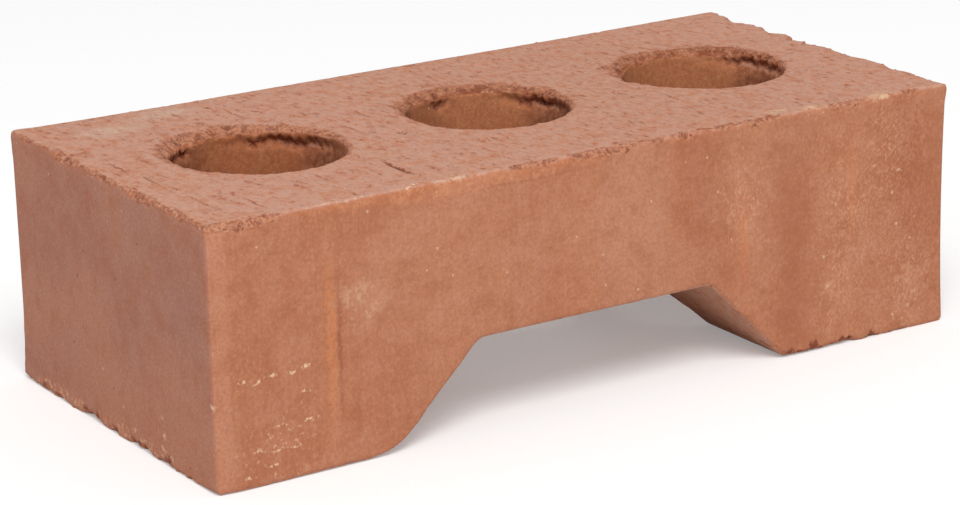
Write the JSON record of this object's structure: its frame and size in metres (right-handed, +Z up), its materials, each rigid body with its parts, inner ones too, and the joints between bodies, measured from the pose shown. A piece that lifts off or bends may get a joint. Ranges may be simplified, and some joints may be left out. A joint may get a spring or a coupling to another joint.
{
  "type": "clay brick",
  "caption": "Cored clay brick in red fired clay, with round through-cores and a flat-topped, slope-sided notch across its underside.",
  "frame": {"origin": "centre of the bed face that the brick rests on, level with the undersides of its two feet", "axes": "+X along the length, +Y across the width and along the notch, +Z up along the cores"},
  "size_m": [0.1938, 0.0922, 0.0572],
  "materials": {
    "fired_clay": "matt, unglazed, wire-cut on the bed faces and die-drawn on the sides"
  },
  "bodies": {
    "root": {"brick": "fired_clay"}
  },
  "joints": []
}
